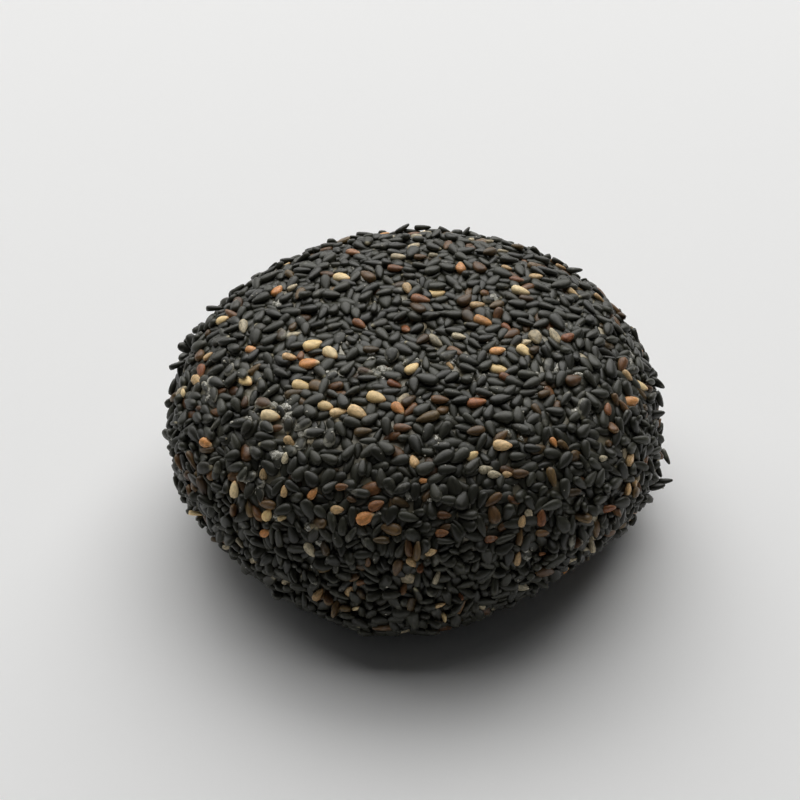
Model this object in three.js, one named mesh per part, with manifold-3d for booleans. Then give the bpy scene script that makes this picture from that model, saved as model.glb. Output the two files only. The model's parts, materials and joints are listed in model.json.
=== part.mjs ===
// A round of mochi rice cake, pressed by hand and rolled all over in black sesame seeds.
//
// Millimetres, +Z up. The cake rests on its flat spot at z = 0, the origin is under its middle,
// and the side that it shows first looks along -Y.
//
// The cake is one solid. Its skin is a body of revolution that is then kneaded out of true, and
// the seeds stand on it as bumps of their own size, each with a ridge that points its own way.
// The seeds that stand proud of the coat are whole ones, fused on at their true size.

import * as THREE from 'three';
import { ConvexHull } from 'three/addons/math/ConvexHull.js';
import { mergeVertices } from 'three/addons/utils/BufferGeometryUtils.js';
import Module from 'manifold-3d';

// The cake, without its seeds.
const CAKE_RADIUS = 33.9;
const CAKE_HEIGHT = 32.2;
const WIDEST_HEIGHT = 17.0;
const SHOULDER_POWER = 2.5; // 2 would be a dome, and more is flatter on top
const BELLY_POWER = 3.2;
const BELLY_SINK = 1.4; // the belly's curve would end this far below the flat spot

// The seeds.
const SEED_LENGTH = 3.2;
const SEED_WIDTH = 1.9;
const SEED_THICKNESS = 0.95;
const SEED_SIDES = 6;
const COAT_BUMPS = 1130;
const BUMP_LIFT = { least: 0.55, most: 0.9 }; // from the hollows to a ridge
const BUMP_REACH = 0.9; // from a bump's middle to each end of its ridge
const PROUD_SEEDS = 48;
const PROUD_LIFT = 0.8;
const PROUD_TIP = { least: 12, most: 34 }; // degrees out of the skin
const PROUD_FLOOR_GAP = 7.5; // from the flat spot's edge to the nearest proud seed

// The flat spot is a ring of points, with two more rings inside it.
const BASE_RING_POINTS = 44;
const BASE_INNER_RINGS = [
  { share: 0.66, points: 12 },
  { share: 0.36, points: 3 },
];
const EDGE_CLEARANCE = 1.7; // from the flat spot's edge to the nearest bump
const FLOOR_CLEARANCE = 0.3; // no bump reaches lower than this

// How the hand left it. A lobe swells the cake by a share of its radius, in waves round the
// axis, and a foot lobe grows from nothing at the widest height. Turns are in degrees from +X,
// anticlockwise seen from above.
const LOBES = [
  { waves: 2, turn: 40, depth: 0.006 },
  { waves: 3, turn: -47, depth: 0.011 },
];
const FOOT_LOBES = [
  { waves: 2, turn: 31, depth: 0.016 },
  { waves: 3, turn: 11, depth: 0.053 },
  { waves: 4, turn: -1, depth: 0.056 },
];
const DENT = { x: -2, y: -0.5, length: 7.5, width: 3.2, depth: 1.1 };

const PROFILE_STEPS = 600;
const SPREAD_TRIES = 14;
const COAT_SEED = 20817;
const PROUD_SEED = 4211;

// A small generator of even random numbers, the same on every run.
function randomFrom(seed) {
  let state = seed;
  return () => {
    state = (state + 0x6d2b79f5) | 0;
    let bits = Math.imul(state ^ (state >>> 15), 1 | state);
    bits = (bits + Math.imul(bits ^ (bits >>> 7), 61 | bits)) ^ bits;
    return ((bits ^ (bits >>> 14)) >>> 0) / 4294967296;
  };
}

function between({ least, most }, random) {
  return least + (most - least) * random();
}

// Half of the cake's section: from the middle of the top over the shoulder and the belly to the
// edge of the flat spot, and in along the flat spot to its middle. x is the radius, y the height.
class CakeSection extends THREE.Curve {
  constructor() {
    super();
    this.bellyDrop = WIDEST_HEIGHT + BELLY_SINK;
    this.bellyEnd = Math.asin((WIDEST_HEIGHT / this.bellyDrop) ** (BELLY_POWER / 2));
    this.footRadius = this.arc(this.bellyEnd, this.bellyDrop, BELLY_POWER)[0];
  }

  // A quarter of a squared-off ellipse: its radius, and its height above or below the widest.
  arc(angle, height, power) {
    return [
      CAKE_RADIUS * Math.cos(angle) ** (2 / power),
      height * Math.sin(angle) ** (2 / power),
    ];
  }

  getPoint(t, target = new THREE.Vector2()) {
    const stretch = t * 3;
    if (stretch < 1) {
      const angle = (1 - stretch) * Math.PI / 2;
      const [radius, rise] = this.arc(angle, CAKE_HEIGHT - WIDEST_HEIGHT, SHOULDER_POWER);
      return target.set(stretch === 0 ? 0 : radius, WIDEST_HEIGHT + rise);
    }
    if (stretch < 2) {
      const [radius, drop] = this.arc((stretch - 1) * this.bellyEnd, this.bellyDrop, BELLY_POWER);
      return target.set(radius, WIDEST_HEIGHT - drop);
    }
    return target.set((3 - stretch) * this.footRadius, 0);
  }
}

// The whole skin. Each point on it has a place along the section and a turn about the axis, and
// also a direction on a round globe. The globe keeps the shapes of small things, so the nearest
// neighbours there are the nearest on the cake.
class Skin {
  constructor() {
    this.section = new CakeSection();
    this.section.arcLengthDivisions = PROFILE_STEPS * 4;
    this.points = this.section.getSpacedPoints(PROFILE_STEPS);
    this.step = this.section.getLength() / PROFILE_STEPS;
    const widest = this.points.reduce((best, p, i) => (p.x > this.points[best].x ? i : best), 0);

    const stretch = new Array(PROFILE_STEPS + 1).fill(0);
    for (let i = widest - 1; i > 0; i -= 1) {
      stretch[i] = stretch[i + 1] - this.turnsBetween(i, i + 1);
    }
    for (let i = widest + 1; i < PROFILE_STEPS; i += 1) {
      stretch[i] = stretch[i - 1] + this.turnsBetween(i - 1, i);
    }
    this.polar = stretch.map((value) => 2 * Math.atan(Math.exp(value)));
    this.polar[0] = 0;
    this.polar[PROFILE_STEPS] = Math.PI;

    this.area = [0];
    for (let i = 1; i <= PROFILE_STEPS; i += 1) {
      const ring = Math.PI * (this.points[i - 1].x + this.points[i].x) * this.step;
      this.area.push(this.area[i - 1] + ring);
    }
    this.footIndex = this.points.findIndex((p) => p.y < 1e-6);
  }

  // The way along the section from one point to the next, over the radius.
  turnsBetween(i, j) {
    const a = this.points[i].x;
    const b = this.points[j].x;
    return Math.abs(b - a) < 1e-9 ? this.step / a : (this.step * Math.log(b / a)) / (b - a);
  }

  // Where a rising table passes a value, as a place between its entries.
  lookUp(table, value) {
    let low = 0;
    let high = table.length - 1;
    while (high - low > 1) {
      const middle = (low + high) >> 1;
      if (table[middle] <= value) low = middle;
      else high = middle;
    }
    return low + THREE.MathUtils.clamp((value - table[low]) / (table[high] - table[low]), 0, 1);
  }

  direction(place, turn) {
    const index = Math.min(Math.floor(place), PROFILE_STEPS - 1);
    const polar = THREE.MathUtils.lerp(this.polar[index], this.polar[index + 1], place - index);
    return new THREE.Vector3(
      Math.sin(polar) * Math.cos(turn),
      Math.sin(polar) * Math.sin(turn),
      Math.cos(polar),
    );
  }

  placeOf(direction) {
    const polar = Math.acos(THREE.MathUtils.clamp(direction.z, -1, 1));
    return [this.lookUp(this.polar, polar), Math.atan2(direction.y, direction.x)];
  }

  // The point of the round skin under a direction, and the way out of it.
  at(direction) {
    const [place, turn] = this.placeOf(direction);
    const index = Math.min(Math.floor(place), PROFILE_STEPS - 1);
    const from = this.points[index];
    const to = this.points[index + 1];
    const radius = THREE.MathUtils.lerp(from.x, to.x, place - index);
    const height = THREE.MathUtils.lerp(from.y, to.y, place - index);
    const along = to.clone().sub(from).normalize();
    return {
      radius,
      point: new THREE.Vector3(radius * Math.cos(turn), radius * Math.sin(turn), height),
      normal: new THREE.Vector3(-along.y * Math.cos(turn), -along.y * Math.sin(turn), along.x),
    };
  }

  // The direction a given number of millimetres away, along a heading.
  walk(direction, heading, distance) {
    const globeRadius = Math.hypot(direction.x, direction.y);
    const scale = distance * (globeRadius / this.at(direction).radius);
    const east = new THREE.Vector3(-direction.y, direction.x, 0).normalize();
    const south = east.clone().cross(direction);
    return direction.clone()
      .addScaledVector(east, Math.sin(heading) * scale)
      .addScaledVector(south, Math.cos(heading) * scale)
      .normalize();
  }
}

// How much a set of lobes swells the cake at a turn about the axis.
function swelling(lobes, turn) {
  return lobes.reduce((sum, lobe) => {
    const peak = THREE.MathUtils.degToRad(lobe.turn);
    return sum + lobe.depth * Math.cos(lobe.waves * (turn - peak));
  }, 0);
}

// Moves a point of the round cake to where the hand pushed it. The flat spot stays flat.
function knead(point) {
  const turn = Math.atan2(point.y, point.x);
  const foot = THREE.MathUtils.smoothstep(WIDEST_HEIGHT - point.z, 0, WIDEST_HEIGHT);
  const swell = 1 + swelling(LOBES, turn) + foot * swelling(FOOT_LOBES, turn);
  const dent = Math.exp(-(((point.x - DENT.x) / DENT.length) ** 2)
    - ((point.y - DENT.y) / DENT.width) ** 2);
  const upper = THREE.MathUtils.smoothstep(point.z, WIDEST_HEIGHT, CAKE_HEIGHT);
  return point.set(point.x * swell, point.y * swell, point.z - DENT.depth * dent * upper);
}

// Spreads things evenly over the skin: each new one is the loneliest of a few tries.
function spread(skin, count, random, edgeClearance) {
  const edge = skin.area[Math.floor(skin.footIndex - edgeClearance / skin.step)];
  const chosen = [];
  for (let n = 0; n < count; n += 1) {
    let best = null;
    for (let attempt = 0; attempt < SPREAD_TRIES; attempt += 1) {
      const place = skin.lookUp(skin.area, random() * edge);
      const direction = skin.direction(place, random() * 2 * Math.PI);
      const { point } = skin.at(direction);
      let nearest = Infinity;
      for (const other of chosen) {
        nearest = Math.min(nearest, point.distanceToSquared(other.point));
      }
      if (!best || nearest > best.nearest) best = { direction, point, nearest };
    }
    chosen.push(best);
  }
  return chosen;
}

// The triangles that join neighbouring directions on the globe, as triples of indices.
function joinNeighbours(directions) {
  const index = new Map(directions.map((direction, i) => [direction, i]));
  const hull = new ConvexHull().setFromPoints(directions);
  return hull.faces.map((face) => {
    const { edge } = face;
    return [edge.head().point, edge.next.head().point, edge.next.next.head().point]
      .map((corner) => index.get(corner));
  });
}

// The flat spot's points.
function basePoints(skin) {
  const rings = [{ share: 1, points: BASE_RING_POINTS }, ...BASE_INNER_RINGS];
  return rings.flatMap(({ share, points }) => {
    const radius = skin.section.footRadius * share;
    const table = skin.points.slice(skin.footIndex).map((p) => -p.x);
    const place = share === 1 ? skin.footIndex : skin.footIndex + skin.lookUp(table, -radius);
    return Array.from({ length: points }, (_, i) => {
      const turn = (i / points) * 2 * Math.PI;
      return {
        direction: skin.direction(place, turn),
        point: knead(new THREE.Vector3(radius * Math.cos(turn), radius * Math.sin(turn), 0)),
      };
    });
  });
}

// The coated cake: a ridge for each seed, and a hollow wherever three seeds meet.
function coatedCake(skin) {
  const random = randomFrom(COAT_SEED);
  const bumps = spread(skin, COAT_BUMPS, random, EDGE_CLEARANCE);
  const base = basePoints(skin);
  const centres = [...bumps, ...base].map((item) => item.direction.clone());

  const raised = (direction, lift) => {
    const { point, normal } = skin.at(direction);
    knead(point.addScaledVector(normal, lift));
    point.z = Math.max(point.z, FLOOR_CLEARANCE);
    return { direction, point };
  };
  const hollows = joinNeighbours(centres)
    .filter((corners) => corners.some((corner) => corner < COAT_BUMPS))
    .map((corners) => {
      const middle = new THREE.Vector3();
      corners.forEach((corner) => middle.add(centres[corner]));
      return raised(middle.normalize(), 0);
    });
  const ridges = bumps.flatMap(({ direction }) => {
    const heading = random() * 2 * Math.PI;
    const lift = between(BUMP_LIFT, random);
    return [-1, 1].map((end) => raised(skin.walk(direction, heading, end * BUMP_REACH), lift));
  });

  const vertices = [...base, ...hollows, ...ridges];
  const geometry = new THREE.BufferGeometry().setFromPoints(vertices.map((v) => v.point));
  geometry.setIndex(joinNeighbours(vertices.map((v) => v.direction)).flat());
  return geometry;
}

// One sesame seed: a flat drop, blunt at one end and pointed at the other.
function seedGeometry() {
  const half = SEED_LENGTH / 2;
  const girth = SEED_WIDTH / 2;
  const outline = [
    new THREE.Vector2(0, -half),
    new THREE.Vector2(girth, -half * 0.45),
    new THREE.Vector2(girth * 0.85, half * 0.3),
    new THREE.Vector2(0, half),
  ];
  const seed = new THREE.LatheGeometry(outline, SEED_SIDES);
  return seed.scale(1, 1, SEED_THICKNESS / SEED_WIDTH);
}

// A closed geometry as a solid that can be fused.
function solid(wasm, geometry) {
  const bare = new THREE.BufferGeometry();
  bare.setAttribute('position', geometry.getAttribute('position').clone());
  if (geometry.index) bare.setIndex(geometry.index.clone());
  const merged = mergeVertices(bare, 1e-4);
  const triangles = [];
  for (let i = 0; i < merged.index.count; i += 3) {
    const corners = [merged.index.getX(i), merged.index.getX(i + 1), merged.index.getX(i + 2)];
    if (new Set(corners).size === 3) triangles.push(...corners);
  }
  return new wasm.Manifold(new wasm.Mesh({
    numProp: 3,
    vertProperties: new Float32Array(merged.getAttribute('position').array),
    triVerts: new Uint32Array(triangles),
  }));
}

// Fuses the proud seeds on, each half sunk in the coat and tipped up a little.
function withProudSeeds(wasm, skin, coat) {
  const random = randomFrom(PROUD_SEED);
  const seed = solid(wasm, seedGeometry());
  const up = new THREE.Vector3(0, 0, 1);
  return spread(skin, PROUD_SEEDS, random, PROUD_FLOOR_GAP).reduce((fused, { direction }) => {
    const { point, normal } = skin.at(direction);
    knead(point.addScaledVector(normal, PROUD_LIFT));
    const heading = random() * 2 * Math.PI;
    const tip = THREE.MathUtils.degToRad(between(PROUD_TIP, random));
    const pose = new THREE.Quaternion()
      .setFromUnitVectors(up, normal)
      .multiply(new THREE.Quaternion().setFromEuler(new THREE.Euler(tip, 0, heading, 'ZYX')));
    const placed = new THREE.Matrix4().compose(point, pose, new THREE.Vector3(1, 1, 1));
    return fused.add(seed.transform(placed.elements));
  }, coat);
}

// The largest body of a fused solid, without loose scraps and sealed hollows.
function mainBody(fused) {
  return fused.decompose().reduce((a, b) => (b.volume() > a.volume() ? b : a));
}

const wasm = await Module();
wasm.setup();

const skin = new Skin();
const coat = solid(wasm, coatedCake(skin));
const cake = mainBody(withProudSeeds(wasm, skin, coat)).getMesh();

const cakeGeometry = new THREE.BufferGeometry();
cakeGeometry.setAttribute('position', new THREE.BufferAttribute(cake.vertProperties, 3));
cakeGeometry.setIndex(new THREE.BufferAttribute(cake.triVerts, 1));
cakeGeometry.computeVertexNormals();
cakeGeometry.computeBoundingBox();

const middle = cakeGeometry.boundingBox.getCenter(new THREE.Vector3());
cakeGeometry.translate(-middle.x, -middle.y, 0);

const sesameCoat = new THREE.MeshStandardMaterial({
  color: 0x2a2726,
  roughness: 0.6,
  metalness: 0,
});

const mochi = new THREE.Mesh(cakeGeometry, sesameCoat);
mochi.name = 'mochi';

const part = new THREE.Group();
part.add(mochi);

export default part;
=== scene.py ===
"""A mochi rice cake rolled in black sesame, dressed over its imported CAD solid.

The dough is one kneaded body. The seeds are laid on it, pushed apart until they lie against each
other, and pressed on. Then each kind of seed becomes one mesh. Sizes in the settings are metres;
the laying of the seeds works in millimetres, because its steps are about a tenth of one.
"""

import json
import math

import bmesh
import bpy
import numpy as np
from bpy.props import (
    FloatProperty,
    FloatVectorProperty,
    IntProperty,
    PointerProperty,
)
from bpy.types import Operator, Panel, PropertyGroup
from mathutils import Matrix, Vector, noise

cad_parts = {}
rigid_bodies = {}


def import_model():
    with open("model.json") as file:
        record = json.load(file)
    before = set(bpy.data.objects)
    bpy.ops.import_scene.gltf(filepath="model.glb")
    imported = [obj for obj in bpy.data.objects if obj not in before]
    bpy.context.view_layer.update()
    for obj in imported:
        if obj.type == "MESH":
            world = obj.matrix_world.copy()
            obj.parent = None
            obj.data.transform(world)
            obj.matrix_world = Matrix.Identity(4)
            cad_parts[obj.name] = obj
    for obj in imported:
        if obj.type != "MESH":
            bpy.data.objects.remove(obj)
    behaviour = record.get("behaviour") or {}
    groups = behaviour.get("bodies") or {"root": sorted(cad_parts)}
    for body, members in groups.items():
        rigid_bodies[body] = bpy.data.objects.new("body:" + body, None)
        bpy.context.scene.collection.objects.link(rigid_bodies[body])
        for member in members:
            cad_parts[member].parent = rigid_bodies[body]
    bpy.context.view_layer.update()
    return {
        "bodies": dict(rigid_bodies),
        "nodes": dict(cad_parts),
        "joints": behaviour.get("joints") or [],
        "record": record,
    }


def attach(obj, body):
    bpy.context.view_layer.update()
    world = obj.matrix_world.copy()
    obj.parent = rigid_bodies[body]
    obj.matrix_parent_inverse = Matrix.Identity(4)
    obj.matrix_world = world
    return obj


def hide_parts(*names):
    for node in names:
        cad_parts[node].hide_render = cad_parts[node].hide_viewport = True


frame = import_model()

bl_info = {
    "name": "Sesame mochi",
    "version": (1, 0, 0),
    "blender": (4, 5, 0),
    "location": "View3D > Sidebar > Mochi",
    "description": "Builds a mochi rice cake with its coat of sesame seeds, and a small studio",
    "category": "Object",
}

NODE = "mochi"
BODY = "root"
MM = 0.001
RENDER_PIXELS = 800
FOCAL_PIXELS = 2530

# How the hand left the cake: (waves round the axis, turn of a crest in degrees, share of radius).
LOBES = ((2, 40, 0.006), (3, -47, 0.011))
FOOT_LOBES = ((2, 31, 0.016), (3, 11, 0.053), (4, -1, 0.056))

# The seeds that catch the eye: (x, y, slant in degrees from level, size, kind), in the view's pixels.
MARKED_SEEDS = (
    (353, 251, -5, 0.85, "russet"), (383, 230, 15, 0.6, "orange"), (425, 230, 10, 0.65, "grey"),
    (342, 276, -12, 1.0, "cream"), (435, 252, 42, 0.75, "grey"), (420, 255, 10, 0.7, "brown"),
    (507, 266, -20, 0.6, "tan"), (504, 249, 5, 0.65, "grey"), (516, 278, -10, 0.8, "russet"),
    (537, 274, 8, 0.75, "tan"), (527, 297, 0, 0.8, "brown"), (398, 255, 2, 0.8, "grey"),
    (525, 340, 5, 0.7, "grey"), (522, 289, 0, 1.05, "cream"), (436, 290, 12, 0.95, "cream"),
    (408, 287, -62, 0.75, "tan"), (460, 265, 90, 0.85, "orange"), (396, 267, 0, 0.9, "russet"),
    (478, 303, 12, 0.8, "tan"), (485, 319, 2, 1.1, "orange"), (459, 334, -15, 0.75, "grey"),
    (498, 349, 15, 0.85, "orange"), (526, 350, -30, 1.0, "cream"), (500, 366, -3, 0.95, "cream"),
    (509, 375, -25, 0.8, "russet"), (421, 298, -15, 1.0, "russet"), (406, 326, -50, 0.75, "russet"),
    (358, 321, -35, 0.8, "russet"), (507, 325, -40, 0.6, "russet"), (568, 336, 25, 0.85, "russet"),
    (575, 290, -25, 0.8, "tan"), (601, 296, -30, 0.7, "tan"), (562, 265, -10, 0.6, "tan"),
    (472, 237, 60, 0.5, "grey"), (491, 239, 20, 0.6, "grey"), (275, 289, 60, 0.85, "orange"),
    (221, 319, 20, 0.8, "cream"), (292, 285, 30, 0.6, "grey"), (283, 263, 10, 0.6, "cream"),
    (292, 325, 70, 0.7, "brown"), (251, 348, 0, 0.75, "orange"), (253, 366, 30, 0.8, "brown"),
    (245, 379, -40, 0.85, "cream"), (243, 400, 80, 0.7, "brown"), (288, 358, 5, 0.75, "tan"),
    (300, 354, 80, 0.6, "russet"), (309, 364, -2, 1.1, "orange"), (304, 382, -3, 1.0, "cream"),
    (313, 343, 25, 1.05, "cream"), (331, 353, -45, 0.95, "cream"), (325, 404, -20, 0.8, "cream"),
    (338, 413, 5, 0.85, "tan"), (357, 413, -22, 1.05, "tan"), (398, 407, -50, 0.85, "orange"),
    (394, 381, -15, 0.75, "russet"), (412, 368, 32, 0.85, "cream"), (377, 397, -25, 1.0, "cream"),
    (270, 415, -5, 1.0, "cream"), (372, 348, 5, 0.85, "brown"), (293, 391, 3, 0.95, "brown"),
    (363, 430, 5, 0.9, "brown"), (311, 437, 70, 0.6, "grey"), (288, 442, -50, 0.65, "tan"),
    (276, 427, 5, 0.7, "brown"), (412, 462, 88, 0.7, "tan"), (403, 428, 10, 0.9, "brown"),
    (424, 480, 0, 0.45, "orange"), (503, 445, -5, 0.95, "tan"), (473, 455, 30, 0.65, "cream"),
    (486, 468, 8, 0.7, "grey"), (495, 474, -5, 0.65, "grey"), (507, 475, 15, 0.5, "tan"),
    (521, 473, 0, 0.85, "brown"), (555, 441, -60, 0.55, "orange"), (564, 445, -40, 0.7, "brown"),
    (516, 499, -10, 0.85, "brown"), (530, 516, -75, 0.65, "grey"), (524, 522, 60, 0.6, "tan"),
    (542, 519, 90, 0.85, "russet"), (542, 534, 0, 0.7, "brown"), (575, 492, 10, 0.75, "brown"),
    (444, 517, 10, 0.7, "brown"), (445, 526, 0, 0.65, "brown"), (442, 534, 15, 0.65, "russet"),
    (429, 552, 10, 0.6, "tan"), (410, 563, -45, 0.6, "tan"), (422, 569, 60, 0.5, "russet"),
    (438, 576, 80, 0.75, "grey"), (493, 540, 5, 0.65, "russet"), (517, 558, 80, 0.75, "tan"),
    (542, 555, 20, 0.4, "russet"), (565, 570, 70, 0.45, "orange"), (586, 549, 0, 0.45, "grey"),
    (207, 355, 40, 0.6, "tan"), (200, 370, -75, 0.85, "russet"), (195, 380, -50, 0.8, "tan"),
    (181, 392, 85, 0.5, "cream"), (205, 446, -35, 0.75, "orange"), (235, 489, 88, 0.85, "cream"),
    (197, 513, 0, 0.75, "cream"), (262, 475, 85, 0.6, "tan"), (285, 458, 80, 0.6, "grey"),
    (284, 491, 80, 0.6, "tan"), (312, 493, 55, 0.7, "orange"), (267, 516, 60, 0.7, "cream"),
    (283, 519, 10, 0.5, "cream"), (267, 533, 20, 0.65, "orange"), (331, 470, 10, 0.6, "brown"),
    (337, 510, 10, 0.65, "tan"), (343, 487, 0, 0.65, "brown"), (376, 505, 25, 0.8, "russet"),
    (365, 518, 15, 0.95, "orange"), (226, 548, 12, 0.6, "grey"), (238, 543, -50, 0.6, "grey"),
    (310, 550, -50, 0.8, "grey"), (319, 593, 45, 0.75, "tan"), (350, 592, 65, 0.65, "tan"),
    (357, 610, 15, 0.45, "cream"), (367, 562, 90, 0.55, "brown"), (364, 582, 10, 0.6, "brown"),
    (642, 384, -35, 0.95, "cream"), (632, 399, -3, 0.95, "orange"), (629, 376, -50, 0.7, "tan"),
    (609, 408, 85, 0.7, "russet"), (632, 458, 70, 0.85, "tan"), (605, 458, 10, 0.5, "grey"),
    (636, 486, -50, 0.65, "tan"), (626, 488, 45, 0.75, "tan"), (608, 509, 25, 0.8, "russet"),
    (477, 400, 10, 1.0, "russet"), (440, 399, 0, 0.9, "brown"), (365, 371, -10, 0.8, "brown"),
    (444, 618, -58, 0.65, "cream"), (460, 597, 70, 0.45, "russet"), (438, 605, 5, 0.55, "tan"),
    (450, 362, -50, 0.5, "tan"), (412, 345, 160, 0.95, "tipped"), (351, 338, 130, 0.8, "tipped"),
    (431, 347, 10, 0.55, "tipped"), (473, 322, 165, 0.85, "tipped"), (321, 371, -50, 0.9, "tipped"),
    (371, 267, -50, 0.8, "tipped"), (389, 280, -50, 0.75, "tipped"), (222, 438, 0, 0.5, "tipped"),
    (198, 408, -20, 0.5, "brown"), (538, 408, -60, 0.7, "brown"), (545, 392, 30, 0.75, "brown"),
    (618, 399, -60, 0.7, "brown"), (613, 442, 5, 0.65, "brown"), (660, 423, 60, 0.5, "brown"),
    (649, 411, 0, 0.6, "brown"), (403, 589, 75, 0.6, "brown"), (218, 389, 10, 0.8, "brown"),
    (352, 500, -30, 0.5, "brown"), (667, 457, -48, 0.9, "soot"), (667, 484, 4, 1.0, "soot"),
    (184, 346, -30, 0.9, "soot"), (176, 365, 15, 0.9, "soot"), (172, 387, 70, 0.9, "soot"),
    (171, 420, 80, 0.9, "soot"), (403, 227, 50, 0.9, "soot"), (423, 227, 5, 0.9, "soot"),
    (463, 230, 50, 0.8, "soot"), (413, 229, -20, 0.9, "soot"), (434, 228, 10, 0.9, "soot"),
    (446, 229, -15, 0.9, "soot"), (657, 383, -35, 0.9, "soot"), (659, 399, -60, 0.9, "soot"),
    (655, 415, 20, 1.0, "soot"), (660, 431, 80, 0.9, "soot"), (659, 446, 60, 0.9, "soot"),
    (659, 470, -60, 0.9, "soot"), (658, 486, 30, 0.9, "soot"),
    (287, 258, 0, 0.9, "soot"), (309, 249, 45, 0.8, "soot"), (321, 247, -20, 0.8, "soot"),
    (271, 269, 50, 0.8, "soot"), (212, 306, -10, 0.9, "soot"), (575, 268, 20, 0.9, "soot"),
    (560, 260, -20, 0.8, "soot"), (600, 291, -40, 0.8, "soot"), (622, 318, -60, 0.8, "soot"),
    (638, 336, -60, 0.9, "soot"),
)

# Each kind of seed, and its share of the coat.
KIND_SHARES = {
    "soot": 0.29, "charcoal": 0.315, "slate": 0.225, "tipped": 0.045, "brown": 0.07, "russet": 0.014,
    "orange": 0.008, "tan": 0.011, "cream": 0.01, "grey": 0.012,
}
DARK = ("soot", "charcoal", "slate")
PALE = ("russet", "orange", "tan", "cream")

# How much wider than a dark seed the pale ones that catch the eye are.
PLUMPNESS = {"cream": 1.25, "tan": 1.18, "orange": 1.15, "russet": 1.1, "grey": 1.1}

# How far over the dough the place of a smear is looked for, in millimetres.
SMEAR_HEIGHT = 0.9

# Where dough has come up between the seeds: (x, y, radius in mm, lift in mm).
MARKED_SMEARS = (
    (229, 367, 1.1, 1.00), (236, 375, 0.9, 0.95), (209, 386, 1.4, 0.85), (208, 396, 1.2, 0.80),
    (262, 402, 0.9, 0.80), (272, 405, 1.1, 0.90), (284, 406, 1.4, 1.00), (287, 416, 1.2, 0.95),
    (247, 418, 0.9, 0.95), (268, 427, 0.9, 0.85), (300, 433, 1.1, 0.90), (297, 445, 1.0, 0.90),
    (316, 428, 0.7, 0.80), (275, 454, 1.4, 0.90), (326, 440, 0.8, 0.70), (245, 482, 1.1, 0.70),
    (256, 490, 1.1, 0.70), (371, 356, 0.7, 0.75), (374, 370, 0.9, 0.80), (385, 376, 0.6, 0.80),
    (390, 352, 0.5, 0.80), (405, 360, 0.7, 0.80), (417, 358, 0.6, 0.80), (326, 379, 0.8, 0.80),
    (287, 333, 0.9, 0.85), (494, 295, 1.2, 0.85), (484, 374, 0.7, 0.75), (490, 392, 0.6, 0.80),
    (452, 360, 0.6, 0.70), (581, 374, 1.0, 1.00), (577, 410, 1.0, 1.00), (566, 400, 0.7, 0.85),
    (311, 568, 0.6, 0.80), (336, 570, 0.6, 0.80), (527, 552, 0.7, 0.80), (571, 546, 0.6, 0.80),
    (508, 431, 0.9, 0.85), (522, 437, 0.6, 0.80), (538, 372, 0.6, 0.80), (437, 437, 0.8, 0.70),
    (430, 500, 0.6, 0.60),
)


# ----------------------------------------------------------------------------- settings


def length_setting(name, description, default):
    return FloatProperty(name=name, description=description, default=default, unit="LENGTH")


def number_setting(name, description, default):
    return FloatProperty(name=name, description=description, default=default)


def colour_setting(name, description, default):
    return FloatVectorProperty(
        name=name, description=description, default=default, subtype="COLOR", size=3
    )


def husk_setting(name, default):
    return colour_setting(name, f"Husk of the {name.lower()} seeds", default)


class MochiDoughSettings(PropertyGroup):
    radius: length_setting("Radius", "Widest radius of the bare dough", 0.0332)
    top: length_setting("Top", "Height of the bare dough's top", 0.0324)
    widest: length_setting("Widest height", "Height where the dough is widest", 0.017)
    foot: length_setting("Foot", "Height of the dough over the floor", 0.0009)
    shoulder: number_setting("Shoulder", "2 is a dome, and more is flatter on top", 2.5)
    belly: number_setting("Belly", "Fullness of the lower half", 3.2)
    sink: length_setting("Sink", "How far under the foot the belly would end", 0.0014)
    dent: length_setting("Dent", "Depth of the dent in the top", 0.0011)
    colour: colour_setting("Dough", "Colour of the dough", (0.32, 0.29, 0.205))


class MochiSeedSettings(PropertyGroup):
    count: IntProperty(name="Count", description="Seeds in the coat", default=5800)
    length: length_setting("Length", "Length of a seed", 0.00282)
    width: length_setting("Width", "Width of a seed", 0.00154)
    thickness: length_setting("Thickness", "Thickness of a seed", 0.00083)
    crowd: number_setting("Crowd", "How much closer the seeds are on the flank", 0.5)
    press: length_setting("Press", "How thick the seeds may lie on the dough", 0.0019)
    proud: number_setting("Proud", "Share of the seeds that stand up out of the coat", 0.06)
    steps: IntProperty(name="Steps", description="Steps of pushing the seeds apart", default=140)
    crumbs: IntProperty(name="Crumbs", description="Specks of dried dough on the seeds", default=560)


class MochiColourSettings(PropertyGroup):
    soot: husk_setting("Soot", (0.0235, 0.0241, 0.0162))
    charcoal: husk_setting("Charcoal", (0.0345, 0.0353, 0.0242))
    slate: husk_setting("Slate", (0.0420, 0.0430, 0.0300))
    tipped: husk_setting("Tipped", (0.0360, 0.0362, 0.0250))
    brown: husk_setting("Brown", (0.120, 0.080, 0.032))
    russet: husk_setting("Russet", (0.320, 0.138, 0.053))
    orange: husk_setting("Orange", (0.860, 0.430, 0.160))
    tan: husk_setting("Tan", (0.740, 0.520, 0.260))
    cream: husk_setting("Cream", (0.960, 0.755, 0.430))
    # Grey: partly the husk's own grey, partly a painted wet highlight, as the colour is made paler to carry
    # the glints on these seeds.
    grey: husk_setting("Grey", (0.560, 0.495, 0.340))


class MochiStageSettings(PropertyGroup):
    elevation: FloatProperty(
        name="Elevation",
        description="Angle of the view above level",
        default=math.radians(40),
        subtype="ANGLE",
    )
    distance: length_setting("Distance", "From the camera to the cake", 0.36)
    aim: length_setting("Aim", "Height that the camera looks at", 0.016)
    focus: number_setting("Focus", "Focal length, in widths of the picture", FOCAL_PIXELS / RENDER_PIXELS)
    shift: FloatVectorProperty(
        name="Shift",
        description="Where the aim lies off the middle, in widths",
        default=(0.02, 0.02),
        size=2,
    )
    floor_colour: colour_setting("Floor", "Colour of the floor", (0.87, 0.876, 0.885))


# ----------------------------------------------------------------------------- the dough's form


def smooth(value, low, high):
    share = np.clip((value - low) / (high - low), 0, 1)
    return share * share * (3 - 2 * share)


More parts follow.
